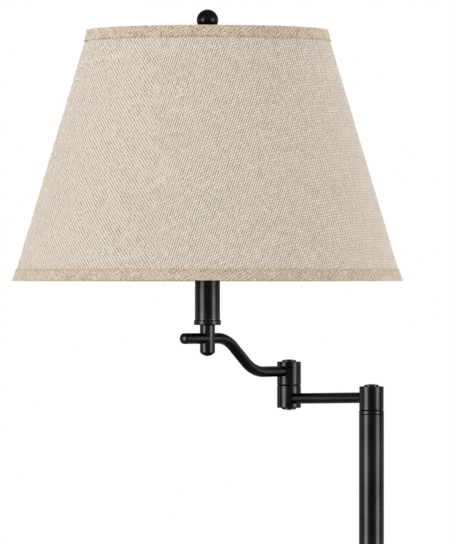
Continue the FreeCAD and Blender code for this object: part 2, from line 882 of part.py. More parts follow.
def socket_liner():
    top = shell_level + shell_height - liner_inset
    wall = tube(liner_outer_radius, liner_outer_radius - liner_wall, liner_level, top)
    return wall.cut(knob_way(knob_shaft_radius + knob_hole_gap))


def terminal_screw(side):
    """A screw in the waist of the core, pointing outwards along X."""
    head_face = core_waist_diameter / 2
    shank = Part.makeCylinder(terminal_shank_diameter / 2, terminal_shank_length, origin, vector(1, 0, 0))
    head_start = vector(terminal_shank_length, 0, 0)
    head = Part.makeCylinder(terminal_head_diameter / 2, terminal_head_thickness, head_start, vector(1, 0, 0))
    screw = shank.fuse(head).removeSplitter()
    screw.translate(vector(head_face - terminal_shank_length, 0, core_level + terminal_height))
    return placed(screw, origin, 0 if side > 0 else half_turn)


def socket_core():
    waist = core_waist_diameter / 2
    body = turned([
        (0, core_level), (waist, core_level), (waist, core_level + core_waist_height),
        (core_radius, core_level + core_waist_height), (core_radius, thread_level), (0, thread_level),
    ])
    for side in (-1, 1):
        start = vector(side * waist, 0, core_level + terminal_height)
        hole_radius = terminal_shank_diameter / 2 + fit_gap
        hole_depth = terminal_shank_length + fit_gap
        body = body.cut(Part.makeCylinder(hole_radius, hole_depth, start, vector(-side, 0, 0)))
    shaft_end = vector(0, knob_shaft_depth + fit_gap - core_radius, knob_axis_level)
    hole_radius = knob_shaft_radius + running_gap
    return body.cut(Part.makeCylinder(hole_radius, core_radius, shaft_end, vector(0, -1, 0)))


def socket_screw_shell():
    inner = bulb_base_radius + bulb_base_gap
    return tube(inner + thread_wall, inner, thread_level, thread_level + thread_height)


def switch_knob():
    """A fluted knob on its shaft, made upright and then laid along -Y."""
    shaft_start = core_radius - knob_shaft_depth
    grip = knob_diameter / 2
    knob_end = knob_shaft_length + knob_length
    body = turned([
        (0, shaft_start), (knob_shaft_radius, shaft_start), (knob_shaft_radius, knob_shaft_length),
        (grip, knob_shaft_length, knob_rounding), (grip, knob_end, knob_rounding), (0, knob_end),
    ])
    for number in range(knob_flute_count):
        place = polar(grip, number * full_turn / knob_flute_count, knob_shaft_length - overrun)
        body = body.cut(Part.makeCylinder(knob_flute_diameter / 2, knob_length + 2 * overrun, place))
    body.rotate(origin, vector(1, 0, 0), quarter_turn)
    body.translate(up * knob_axis_level)
    return body


# Bulb

def bulb_base():
    tip = bulb_tip_diameter / 2
    taper_top = thread_level + bulb_base_taper
    return turned([
        (0, thread_level), (tip, thread_level), (bulb_base_radius, taper_top),
        (bulb_base_radius, bulb_glass_level), (0, bulb_glass_level),
    ])


def bulb_corners(inset):
    top = thread_level + bulb_length - inset
    neck = bulb_base_radius - inset
    full = bulb_diameter / 2 - inset
    return [
        (neck, bulb_glass_level), (neck, bulb_glass_level + bulb_neck_height, bulb_neck_bend),
        (full, bulb_glass_level + bulb_swell_height, bulb_swell_bend), (full, top, full), (0, top),
    ]


def bulb_glass():
    return turned(bulb_corners(0) + bulb_corners(bulb_wall)[::-1])


# Shade

shade_slope_share = (shade_bottom_diameter - shade_top_diameter) / 2 / shade_height
fabric_inset = trim_thickness + layer_gap
liner_inset_depth = fabric_inset + fabric_thickness + layer_gap
stack_inset = liner_inset_depth + liner_thickness
ring_inset = stack_inset + ring_gap + ring_wire_radius
rim_room = trim_fold_thickness + layer_gap


def shade_radius(level, inset=0):
    """Radius of the shade at a level, drawn in by inset."""
    return shade_top_diameter / 2 + (shade_top_level - level) * shade_slope_share - inset


def cone_layer(outer_inset, thickness):
    """A conical layer of the shade that stops just inside the fold of each trim."""
    low = shade_bottom_level + rim_room
    high = shade_top_level - rim_room
    inner_inset = outer_inset + thickness
    return turned([
        (shade_radius(low, outer_inset), low), (shade_radius(high, outer_inset), high),
        (shade_radius(high, inner_inset), high), (shade_radius(low, inner_inset), low),
    ])


def trim_tape(rim_level, direction):
    """Folded tape round a rim: wide outside, over the rim and round the ring inside."""
    pocket_inset = ring_inset + ring_wire_radius + ring_gap
    fold_inset = pocket_inset + trim_fold_thickness
    flap_inset = stack_inset + layer_gap
    flap_foot = trim_pocket_height + flap_inset
    corners = [
        (0, trim_width, 0), (0, 0, trim_fold_rounding), (fold_inset, 0, trim_fold_rounding),
        (fold_inset, trim_pocket_height, 0), (flap_inset + trim_fold_thickness, flap_foot, 0),
        (flap_inset + trim_fold_thickness, trim_fold_height, 0), (flap_inset, trim_fold_height, 0),
        (flap_inset, flap_foot - layer_gap, 0), (pocket_inset, trim_pocket_height - layer_gap, 0),
        (pocket_inset, trim_fold_thickness, 0), (trim_thickness, trim_fold_thickness, 0),
        (trim_thickness, trim_width, 0),
    ]
    outline_corners = []
    for inset, height, rounding in corners:
        level = rim_level + direction * height
        outline_corners.append((shade_radius(level, inset), level, rounding))
    return turned(outline_corners)


def ring_level_at(rim_level, direction):
    return rim_level + direction * (trim_fold_thickness + ring_gap + ring_wire_radius)


def wire_ring(rim_level, direction):
    level = ring_level_at(rim_level, direction)
    return Part.makeTorus(shade_radius(level, ring_inset), ring_wire_radius, up * level)


def spider_arms(radius):
    """Straight rods from the spider's washer out to the top ring."""
    level = ring_level_at(shade_top_level, -1)
    washer_level = seat_level + spider_washer_thickness / 2
    arms = []
    for azimuth in spider_arm_azimuths:
        start = polar(spider_root_radius, azimuth, washer_level)
        end = polar(shade_radius(level, ring_inset), azimuth, level)
        arms.append(Part.makeCylinder(radius, start.distanceToPoint(end), start, end - start))
    return arms


def shade_spider():
    hole = stud_diameter / 2 + spider_hole_gap
    washer = tube(spider_washer_diameter / 2, hole, seat_level, finial_level)
    return washer.multiFuse(spider_arms(ring_wire_radius) + [wire_ring(shade_top_level, -1)]).removeSplitter()


def shade_trims():
    top = trim_tape(shade_top_level, -1)
    for way in spider_arms(ring_wire_radius + spider_arm_gap):
        top = top.cut(way)
    return [trim_tape(shade_bottom_level, 1), top]


# The nodes, each with its solids: first what stands on the floor

stand = {
    "base_cover": [base_cover()],
    "base_weight": [base_weight()],
    "base_felt": [base_felt()],
    "base_collar": [base_collar()],
    "base_nipple": [nipple(base_nut_level - nipple_end, pole_foot_level + plug_grip)],
    "base_nut": [hex_nut(base_nut_width, base_nut_height, base_nut_level)],
    "base_washer": [base_washer()],
    "cord_bushing": [cord_bushing()],
    "pole_foot_plug": [tube(plug_radius, nipple_seat_radius, pole_foot_level, pole_foot_level + plug_length)],
    "pole_couplers": pole_couplers(),
    "pole_top_plug": [tube(plug_radius, nipple_seat_radius, pole_plug_level, pole_top_level)],
    "pole_ring": [pole_ring()],
    "pole_pivot": [nipple(pole_nut_levels[0] - nipple_end, pole_nut_levels[1] + nut_height + nipple_end)],
    "pole_nuts": [hex_nut(nut_width, nut_height, level) for level in pole_nut_levels],
    "pole_disc_spring": [disc_spring(lower_barrel_level + barrel_floor)],
    "pole_friction_washer": [friction_washer(ring_level)],
    "pole_lead": [bent_rod(base_lead_points(), [base_lead_bend], lead_radius)],
    "splice_caps": splice_caps(),
}
stand.update({name: [section] for name, section in pole_sections().items()})

# On the pole's axis, but turning with the straight arm
pole_end = {
    "pole_barrel": [pole_barrel()],
    "pole_cap": [button_cap(pole_barrel_top, True)],
}

# On the elbow's axis
elbow = {
    "elbow_lower_barrel": [elbow_lower_barrel()],
    "elbow_lower_cap": [button_cap(lower_barrel_level, False)],
    "elbow_pivot": [nipple(elbow_nut_levels[0] - nipple_end, elbow_nut_levels[1] + nut_height + nipple_end)],
    "elbow_nuts": [hex_nut(nut_width, nut_height, level) for level in elbow_nut_levels],
    "elbow_disc_spring": [disc_spring(upper_barrel_level + barrel_floor)],
    "elbow_friction_washer": [friction_washer(elbow_level)],
    "elbow_upper_barrel": [elbow_upper_barrel()],
    "elbow_upper_cap": [button_cap(upper_barrel_top, True)],
}

# Along the straight arm, and along the curved arm
straight_arm = {"straight_tube": [straight_tube()], "straight_lead": [straight_lead()]}
curved_arm = {
    "curved_tube": [curved_tube()],
    "tube_end_plug": [tube_end_plug()],
    "curved_lead": [curved_lead()],
}

# On the post's axis
head = {
    "socket_post": [socket_post()],
    "socket_cup": [socket_cup()],
    "neck_sleeve": [neck_sleeve()],
    "neck_nipple": [nipple(post_level - post_thread, socket_level + socket_cap_floor)],
    "neck_nut": [hex_nut(nut_width, nut_height, strap_level)],
    "harp_saddle": [harp_saddle()],
    "harp_bow": [harp_bow()],
    "harp_ferrule_left": [harp_ferrule(-1)],
    "harp_ferrule_right": [harp_ferrule(1)],
    "finial": [finial()],
    "socket_cap": [socket_cap()],
    "socket_shell": [socket_shell()],
    "socket_liner": [socket_liner()],
    "socket_core": [socket_core()],
    "socket_screw_shell": [socket_screw_shell()],
    "terminal_screws": [terminal_screw(side) for side in (-1, 1)],
    "switch_knob": [switch_knob()],
    "bulb_base": [bulb_base()],
    "bulb_glass": [bulb_glass()],
    "shade_fabric": [cone_layer(fabric_inset, fabric_thickness)],
    "shade_liner": [cone_layer(liner_inset_depth, liner_thickness)],
    "shade_trims": shade_trims(),
    "shade_spider": [shade_spider()],
    "shade_bottom_ring": [wire_ring(shade_bottom_level, 1)],
}

os.makedirs("parts", exist_ok=True)
groups = (
    (stand, origin, 0),
    (pole_end, origin, 0),
    (elbow, elbow_place, 0),
    (straight_arm, origin, straight_arm_azimuth),
    (curved_arm, elbow_place, forearm_azimuth),
    (head, post_place, 0),
)
node_count = 0
for nodes, place, azimuth in groups:
    for name, solids in nodes.items():
        finished = [placed(solid, place, azimuth) for solid in solids]
        shape = finished[0] if len(finished) == 1 else Part.makeCompound(finished)
        shape.exportStep(f"parts/{name}.step")
        node_count += 1
        if not shape.isValid() or len(shape.Solids) != len(solids):
            print("check", name, "valid", shape.isValid(), "solids", len(shape.Solids))
print("nodes", node_count)
print("elbow axis", elbow_place, "post axis", post_place)
print("levels: pole joint", pole_joint_level, "elbow joint", elbow_joint_level, "knob", knob_axis_level)
print("saddle", saddle_level, "seat", seat_level, "shade", shade_bottom_level, shade_top_level)
print("overall height", finial_level + finial_height)
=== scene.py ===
from math import atan, atan2, cos, pi, radians, sin, tau

import bmesh
import bpy
from mathutils import Matrix, Vector, noise


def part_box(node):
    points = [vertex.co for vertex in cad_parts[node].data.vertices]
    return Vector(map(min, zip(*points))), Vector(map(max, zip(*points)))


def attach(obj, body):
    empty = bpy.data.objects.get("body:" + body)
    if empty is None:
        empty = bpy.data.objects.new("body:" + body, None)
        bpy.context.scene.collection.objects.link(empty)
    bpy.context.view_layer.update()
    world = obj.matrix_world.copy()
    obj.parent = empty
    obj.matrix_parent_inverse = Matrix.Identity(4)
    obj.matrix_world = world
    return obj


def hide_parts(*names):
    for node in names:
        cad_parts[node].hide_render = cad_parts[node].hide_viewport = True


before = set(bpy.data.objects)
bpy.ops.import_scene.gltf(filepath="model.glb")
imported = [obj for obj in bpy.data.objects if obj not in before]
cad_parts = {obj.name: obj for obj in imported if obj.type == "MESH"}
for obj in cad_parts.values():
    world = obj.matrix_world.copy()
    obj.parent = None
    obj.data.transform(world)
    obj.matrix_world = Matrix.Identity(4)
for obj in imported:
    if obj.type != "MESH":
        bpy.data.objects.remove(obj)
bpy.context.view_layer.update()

scene = bpy.context.scene
scene.view_settings.view_transform = "Standard"


# Camera and lamps of the studio

cameraView = dict(across=-0.1668, away=-6.8, level=1.2142, lens=387, sensor=36, shiftUp=0.042)

# Turns are counted from the front and rises from level, both in degrees
stripPlace = dict(rise=0, distance=5, height=2.8, level=1.15)
stripLamps = (     # only gloss shows these
    dict(stripPlace, name="strip_left", turn=-52.5, width=2.5, power=930),
    dict(stripPlace, name="strip_right", turn=61, width=2.3, power=700),
    dict(stripPlace, name="rim_left", turn=-113, width=1.5, power=90),
    dict(stripPlace, name="rim_right", turn=113, width=1.5, power=90),
)
softPlace = dict(distance=6, level=1.2)
softLamps = (     # gloss doesn't show these
    dict(softPlace, name="key_left", turn=-60, rise=35, width=1.6, height=1.6, power=124),
    dict(softPlace, name="fill_right", turn=72, rise=15, width=3.0, height=3.0, power=42),
    dict(softPlace, name="back_right", turn=122, rise=10, width=3.0, height=3.0, power=100),
)


def setCamera(view):
    lens = bpy.data.cameras.new("camera")
    lens.lens = view["lens"]
    lens.sensor_width = view["sensor"]
    lens.shift_y = view["shiftUp"]
    holder = bpy.data.objects.new("camera", lens)
    holder.location = (view["across"], view["away"], view["level"])
    holder.rotation_euler = (radians(90), 0, 0)     # level, and square to the front
    scene.collection.objects.link(holder)
    scene.camera = holder


def addLamp(lamp, onlyGloss):
    light = bpy.data.lights.new(lamp["name"], "AREA")
    light.shape = "RECTANGLE"
    light.size = lamp["width"]
    light.size_y = lamp["height"]
    light.energy = lamp["power"]
    holder = bpy.data.objects.new(lamp["name"], light)
    turn, rise = radians(lamp["turn"]), radians(lamp["rise"])
    middle = Vector((cameraView["across"], 0, lamp["level"]))
    outward = Vector((sin(turn) * cos(rise), -cos(turn) * cos(rise), sin(rise)))
    holder.location = middle + lamp["distance"] * outward
    holder.rotation_euler = (-outward).to_track_quat("-Z", "Y").to_euler()
    holder.visible_camera = False
    holder.visible_diffuse = not onlyGloss
    holder.visible_glossy = onlyGloss
    scene.collection.objects.link(holder)


# Small helpers for shader nodes

white = (1, 1, 1, 1)
cloudMiddle = 0.5
cloudEnds = (0.3, 0.7)     # nearly all of a cloud's values lie between these


# A colour from 0 to 255 as a screen shows it, turned by the screen's own curve into what a shader takes
def linear(colour):
    shares = [part / 255 for part in colour]
    return [((c + 0.055) / 1.055) ** 2.4 if c > 0.04 else c / 12.92 for c in shares] + [1]


def feed(tree, socket, value):
    if isinstance(value, bpy.types.NodeSocket):
        tree.links.new(value, socket)
    else:
        socket.default_value = value


# The inputs go by name or by number
def addNode(tree, kind, inputs=None, **settings):
    made = tree.nodes.new("ShaderNode" + kind)
    for name, value in settings.items():
        setattr(made, name, value)
    for name, value in (inputs or {}).items():
        feed(tree, made.inputs[name], value)
    return made


def calculate(tree, operation, *values, clamp=False):
    inputs = dict(enumerate(values))
    return addNode(tree, "Math", inputs, operation=operation, use_clamp=clamp).outputs[0]


def dotProduct(tree, first, second):
    return addNode(tree, "VectorMath", {0: first, 1: second}, operation="DOT_PRODUCT").outputs["Value"]


def mixColours(tree, share, first, second):
    inputs = {0: share, 6: first, 7: second}     # a Mix node's colours go in at 6 and 7 and come out at 2
    return addNode(tree, "Mix", inputs, data_type="RGBA").outputs[2]


def mixShaders(tree, share, first, second):
    return addNode(tree, "MixShader", {0: share, 1: first, 2: second}).outputs[0]


# Two tones of one material, from dark at 0 to light at 1
def twoTones(tree, share, look):
    return mixColours(tree, share, linear(look["dark"]), linear(look["light"]))


def spread(tree, value, low, high, first=0.0, second=1.0):
    inputs = {"Value": value, "From Min": low, "From Max": high, "To Min": first, "To Max": second}
    return addNode(tree, "MapRange", inputs).outputs[0]


def objectPlace(tree):
    return addNode(tree, "TexCoord").outputs["Object"]


def cloud(tree, place, scale, detail=2.0, fineShare=0.5):
    inputs = {"Vector": place, "Scale": scale, "Detail": detail, "Roughness": fineShare}
    return addNode(tree, "TexNoise", inputs).outputs["Fac"]


# A cloud's values, stretched so that they reach from first to second
def evenOut(tree, values, first=0.0, second=1.0):
    return spread(tree, values, *cloudEnds, first, second)


# Values about 0.5, moved so that they lie about 0
def centred(tree, values):
    return calculate(tree, "SUBTRACT", values, cloudMiddle)


def bump(tree, height, depth):
    return addNode(tree, "Bump", {"Height": height, "Distance": depth, "Strength": 1.0}).outputs["Normal"]


# 1 for the rays that show the background itself: to the camera, in gloss and through glass
def seenPlain(tree):
    rays = addNode(tree, "LightPath").outputs
    seen = calculate(tree, "MAXIMUM", rays["Is Camera Ray"], rays["Is Glossy Ray"])
    return calculate(tree, "MAXIMUM", seen, rays["Is Transmission Ray"])


def emptyTree(owner):
    owner.use_nodes = True
    owner.node_tree.nodes.clear()
    return owner.node_tree


def newFinish(name, sockets):
    finish = bpy.data.materials.new(name)
    finish.use_nodes = True
    shader = finish.node_tree.nodes["Principled BSDF"]
    for socket, value in sockets.items():
        shader.inputs[socket].default_value = value
    return finish, finish.node_tree, shader.inputs


# A soft white world, and a pale floor that fades into its white; a strength of 1 is plain white

softWorld = dict(strength=0.768)
floorDisc = dict(
    radius=1.5, plainTo=0.75, whiteFromShare=0.97, segments=128, colour=(232, 231, 229), grainScale=260,
    grainDetail=3.0, grainShare=0.04,
)


def paintWorld(look):
    world = bpy.data.worlds.new("studio")
    scene.world = world
    tree = emptyTree(world)
    soft = addNode(tree, "Background", {"Color": white, "Strength": look["strength"]}).outputs[0]
    plain = addNode(tree, "Background", {"Color": white, "Strength": 1.0}).outputs[0]
    addNode(tree, "OutputWorld", {"Surface": mixShaders(tree, seenPlain(tree), soft, plain)})


def paintFloor(disc):
    finish = bpy.data.materials.new("pale_floor")
    tree = emptyTree(finish)
    place = objectPlace(tree)
    fromMiddle = addNode(tree, "VectorMath", {0: place}, operation="LENGTH").outputs["Value"]
    fade = spread(tree, fromMiddle, disc["plainTo"], disc["radius"] * disc["whiteFromShare"])
    grain = cloud(tree, place, disc["grainScale"], disc["grainDetail"])
    grain = evenOut(tree, grain, 0.0, disc["grainShare"])
    pale = mixColours(tree, grain, linear(disc["colour"]), white)
    plain = addNode(tree, "BsdfDiffuse", {"Color": pale}).outputs[0]
    bright = addNode(tree, "Emission", {"Color": white, "Strength": 1.0}).outputs[0]
    above = mixShaders(tree, calculate(tree, "MULTIPLY", fade, seenPlain(tree)), plain, bright)
    below = addNode(tree, "BsdfTransparent").outputs[0]     # from below the floor isn't there
    fromBelow = addNode(tree, "NewGeometry").outputs["Backfacing"]
    addNode(tree, "OutputMaterial", {"Surface": mixShaders(tree, fromBelow, above, below)})
    return finish


def layFloor(disc):
    shape = bmesh.new()
    bmesh.ops.create_circle(shape, cap_ends=True, radius=disc["radius"], segments=disc["segments"])
    floor = makeObject("floor", shape, paintFloor(disc))


# Finishes of the metal pieces

darkBronze = dict(
    dark=(14, 14, 14), light=(21, 21, 21), cloudScale=26, smooth=0.26, rough=0.31, grazing=0.55,
    grainScale=700, grainDepth=0.000004, edge=(64, 62, 60), edgeWidth=0.0011, edgeSamples=6,
    edgeFrom=0.02, edgeTo=0.3, wornFrom=0.35, wornTo=0.7, wornLeastShare=0.4,
)


# How near a place is to an edge, from 0 on the flats to 1 on the edge
def nearEdge(tree, look):
    rounded = addNode(tree, "Bevel", {"Radius": look["edgeWidth"]}, samples=look["edgeSamples"])
    flat = addNode(tree, "NewGeometry").outputs["Normal"]
    bent = calculate(tree, "SUBTRACT", 1.0, dotProduct(tree, rounded.outputs["Normal"], flat))
    return spread(tree, bent, look["edgeFrom"], look["edgeTo"])


def paintDarkBronze(look):
    dimRim = (look["grazing"], look["grazing"], look["grazing"], 1)     # its gloss where seen edge on
    finish, tree, shader = newFinish("dark_bronze", {"Metallic": 1.0, "Specular Tint": dimRim})
    place = objectPlace(tree)
    clouds = cloud(tree, place, look["cloudScale"])
    grain = cloud(tree, place, look["grainScale"])
    worn = spread(tree, clouds, look["wornFrom"], look["wornTo"], look["wornLeastShare"], 1.0)
    wear = calculate(tree, "MULTIPLY", nearEdge(tree, look), worn)
    body = twoTones(tree, evenOut(tree, clouds), look)
    feed(tree, shader["Base Color"], mixColours(tree, wear, body, linear(look["edge"])))
    feed(tree, shader["Roughness"], evenOut(tree, clouds, look["smooth"], look["rough"]))
    feed(tree, shader["Normal"], bump(tree, grain, look["grainDepth"]))
    return finish


plating = dict(detail=4.0, fineShare=0.6, depth=0.00006)
platedMetals = dict(
    zinc_steel=dict(
        plating, dark=(168, 171, 172), light=(206, 209, 210), smooth=0.3, rough=0.46, scale=180,
        stretch=1,
    ),
    nickel_wire=dict(
        plating, dark=(186, 182, 174), light=(214, 211, 204), smooth=0.2, rough=0.32, scale=260,
        stretch=0.15,
    ),
    brass=dict(
        plating, dark=(186, 148, 78), light=(222, 188, 112), smooth=0.24, rough=0.4, scale=210,
        stretch=0.3,
    ),
)


def paintPlatedMetal(name, look):
    finish, tree, shader = newFinish(name + "_plate", {"Metallic": 1.0})
    scales = (1, 1, look["stretch"])     # a stretch under 1 draws the streaks out upwards
    place = addNode(tree, "Mapping", {"Vector": objectPlace(tree), "Scale": scales}).outputs[0]
    streaks = cloud(tree, place, look["scale"], look["detail"], look["fineShare"])
    feed(tree, shader["Base Color"], twoTones(tree, evenOut(tree, streaks), look))
    feed(tree, shader["Roughness"], evenOut(tree, streaks, look["smooth"], look["rough"]))
    feed(tree, shader["Normal"], bump(tree, streaks, look["depth"]))
    return finish


# Finishes in two tones and a fine grain: the iron, the bulb, the plastics, the card and the rubber

castIron = dict(
    dark=(52, 51, 50), light=(84, 82, 79), patchScale=60, patchDetail=6.0, patchFineShare=0.65,
    grainScale=420, grainDetail=5.0, grainDepth=0.0004,
    sockets={"Roughness": 0.75, "Specular IOR Level": 0.4},
)
frostedBulb = dict(
    dark=(226, 222, 212), light=(240, 238, 231), patchScale=30, patchDetail=3.0, patchFineShare=0.5,
    grainScale=800, grainDetail=2.0, grainDepth=0.00003,
    sockets={"Roughness": 0.3, "Coat Weight": 0.5, "Coat Roughness": 0.12},
)
moulding = dict(patchDetail=4.0, patchFineShare=0.6, grainDetail=3.0)
mouldedGoods = dict(
    phenolic=dict(
        moulding, dark=(24, 20, 18), light=(40, 33, 29), patchScale=90, grainScale=900,
        grainDepth=0.00003, sockets={"Roughness": 0.35},
    ),
    insulating_card=dict(
        moulding, dark=(172, 146, 112), light=(206, 182, 148), patchScale=160, grainScale=1400,
        grainDepth=0.00012, sockets={"Roughness": 0.85},
    ),
    nylon=dict(
        moulding, dark=(222, 217, 204), light=(236, 232, 221), patchScale=70, grainScale=700,
        grainDepth=0.00003, sockets={"Roughness": 0.42},
    ),
    lead_sheath=dict(
        moulding, dark=(40, 37, 35), light=(58, 54, 51), patchScale=120, grainScale=1100,
        grainDepth=0.00004, sockets={"Roughness": 0.45},
    ),
    bushing_rubber=dict(
        moulding, dark=(28, 28, 29), light=(42, 42, 43), patchScale=110, grainScale=1300,
        grainDepth=0.00006, sockets={"Roughness": 0.62},
    ),
    shade_backing=dict(
        moulding, dark=(232, 228, 219), light=(243, 240, 233), patchScale=24, grainScale=500,
        grainDepth=0.00008, sockets={"Roughness": 0.5},
    ),
)


def paintGrained(name, look):
    finish, tree, shader = newFinish(name, look["sockets"])
    place = objectPlace(tree)
    patches = cloud(tree, place, look["patchScale"], look["patchDetail"], look["patchFineShare"])
    grain = cloud(tree, place, look["grainScale"], look["grainDetail"])
    feed(tree, shader["Base Color"], twoTones(tree, evenOut(tree, patches), look))
    feed(tree, shader["Normal"], bump(tree, grain, look["grainDepth"]))
    return finish


pressedFelt = dict(
    dark=(34, 35, 36), light=(62, 63, 64), fuzzFrom=0.35, fuzzTo=0.65, depth=0.0006, fibreScale=900,
    fibreDetail=6.0, fibreFineShare=0.7, fibreShare=0.6, clumpScale=120, clumpDetail=4.0,
    clumpFineShare=0.6, clumpShare=0.4,
    sockets={"Roughness": 0.95, "Sheen Weight": 0.4, "Sheen Roughness": 0.5, "Specular IOR Level": 0.1},
)


def paintFelt(look):
    finish, tree, shader = newFinish("pressed_felt", look["sockets"])
    place = objectPlace(tree)
    fibres = cloud(tree, place, look["fibreScale"], look["fibreDetail"], look["fibreFineShare"])
    clumps = cloud(tree, place, look["clumpScale"], look["clumpDetail"], look["clumpFineShare"])
    fuzz = calculate(tree, "MULTIPLY", clumps, look["clumpShare"])
    fuzz = calculate(tree, "MULTIPLY_ADD", fibres, look["fibreShare"], fuzz)
    share = spread(tree, fuzz, look["fuzzFrom"], look["fuzzTo"])
    feed(tree, shader["Base Color"], twoTones(tree, share, look))
    feed(tree, shader["Normal"], bump(tree, fuzz, look["depth"]))
    return finish


# Woven cloth: two sets of yarns that cross, on the cut's own flat coordinates in metres. Where they
# cross they make rising and falling diagonals in the tone. These are partly the yarns' own two tones and
# partly painted shade of their relief, as a light from one side would cast it. Each pair of shares is for
# the cloth before and beyond the two places given along the cut where the lean changes. On the burlap
# the painted shade leans one way at the left of the shade and the other way over the rest

woven = dict(
    rowMiddle=0.64,     # about the mean height of a yarn's wave, so that rows don't change the tone
    cut="cut", flatHeight=0.6, crossHeight=0.4, crossRelief=0.5, topBlend=0.2, yarnStep=3.7,
    warpShift=9.0, slubDetail=1.0, fadeDetail=1.0, patchDetail=3.0,
    sockets={"Roughness": 0.9, "Specular IOR Level": 0.2, "Sheen Weight": 0.25, "Sheen Roughness": 0.4},
)
burlapCloth = dict(
    woven, name="burlap_weave", weftPitch=0.0034, weftTurn=110, warpPitch=0.00155, warpTurn=4.4,
    dark=(143, 125, 105), light=(255, 243, 228), middle=0.565, depth=0.0006, risingShares=(0.11, 0.34),
    fallingShares=(0.30, 0.10), shadeLeanFrom=-0.066, shadeLeanTo=-0.050, rowShadeShare=0.33, unevenness=1.5,
    wander=1.0, wanderScale=50, slubLength=0.004, slubShare=0.25, fadeScale=90, fading=1.2,
    patchScale=9, patchShare=0.05,
)
tapeCloth = dict(
    woven, name="tape_weave", weftPitch=0.00196, weftTurn=168.7, warpPitch=0.00232, warpTurn=70,
    dark=(120, 99, 76), light=(240, 223, 201), middle=0.55, depth=0.0003, risingShares=(0.13, 0.13),
    fallingShares=(0.16, 0.16), shadeLeanFrom=-1, shadeLeanTo=1, rowShadeShare=0.2, unevenness=1.8,
    wander=1.8, wanderScale=60, slubLength=0.005, slubShare=0.9, fadeScale=75, fading=1.5,
    patchScale=70, patchShare=0.5,
)


# Counts the yarns of one set across the cloth; the sway makes them wander
def yarnRows(tree, cut, turn, pitch, sway):
    perMetre = (cos(radians(turn)) / pitch, sin(radians(turn)) / pitch, 0)
    return calculate(tree, "ADD", dotProduct(tree, cut, perMetre), sway)


# A wave that makes half a turn for each yarn counted
def yarnWave(tree, count, kind="SINE"):
    return calculate(tree, kind, calculate(tree, "MULTIPLY", count, pi))


# The diagonals of one lean, as strong as their share at that place along the cut. Where the share
# changes, it is painted shade of the yarn relief, stronger on one side of the shade
def diagonals(tree, count, along, shares, look):
    share = spread(tree, along, look["shadeLeanFrom"], look["shadeLeanTo"], *shares)
    return calculate(tree, "MULTIPLY", yarnWave(tree, count, "COSINE"), share)


def diagonalToneAndShade(tree, cut, weft, warp, look):
    along = addNode(tree, "SeparateXYZ", {"Vector": cut}).outputs["X"]
    apart = calculate(tree, "SUBTRACT", warp, weft)
    together = calculate(tree, "ADD", warp, weft)
    rising = diagonals(tree, apart, along, look["risingShares"], look)
    falling = diagonals(tree, together, along, look["fallingShares"], look)
    return calculate(tree, "SUBTRACT", rising, falling)


# How strongly each crossing shows: by chance, and with fades from place to place
def unevenLift(tree, cut, weft, warp, look):
    corner = {"X": calculate(tree, "FLOOR", weft), "Y": calculate(tree, "FLOOR", warp)}
    crossing = addNode(tree, "CombineXYZ", corner).outputs[0]
    chance = addNode(tree, "TexWhiteNoise", {"Vector": crossing}).outputs["Value"]
    lift = calculate(tree, "MULTIPLY_ADD", centred(tree, chance), look["unevenness"], 1.0)
    fade = centred(tree, cloud(tree, cut, look["fadeScale"], look["fadeDetail"]))
    return calculate(tree, "MULTIPLY_ADD", fade, look["fading"], lift)


# Thick and thin places along each yarn, different from yarn to yarn
def slubs(tree, along, rows, shift, look):
    yarn = calculate(tree, "MULTIPLY", calculate(tree, "FLOOR", rows), look["yarnStep"])
    place = addNode(tree, "CombineXYZ", {"X": along, "Y": yarn, "Z": shift}).outputs[0]
    return cloud(tree, place, 1.0, look["slubDetail"])


# The slubs of whichever yarn lies on top; the other set's count tells how far along a yarn a place is
def topSlubs(tree, weft, warp, over, look):
    weftAlong = calculate(tree, "MULTIPLY", warp, look["warpPitch"] / look["slubLength"])
    warpAlong = calculate(tree, "MULTIPLY", weft, look["weftPitch"] / look["slubLength"])
    weftSlubs = slubs(tree, weftAlong, weft, 0.0, look)
    warpSlubs = slubs(tree, warpAlong, warp, look["warpShift"], look)
    onTop = spread(tree, over, -look["topBlend"], look["topBlend"])
    difference = calculate(tree, "SUBTRACT", weftSlubs, warpSlubs)
    return calculate(tree, "MULTIPLY_ADD", onTop, difference, warpSlubs)


# The height of one set's yarns; where they cross over the others they stand higher
def yarnHeight(tree, wave, over, side, look):
    rise = calculate(tree, "MULTIPLY_ADD", over, side * look["crossHeight"], look["flatHeight"])
    return calculate(tree, "MULTIPLY", calculate(tree, "ABSOLUTE", wave), rise)


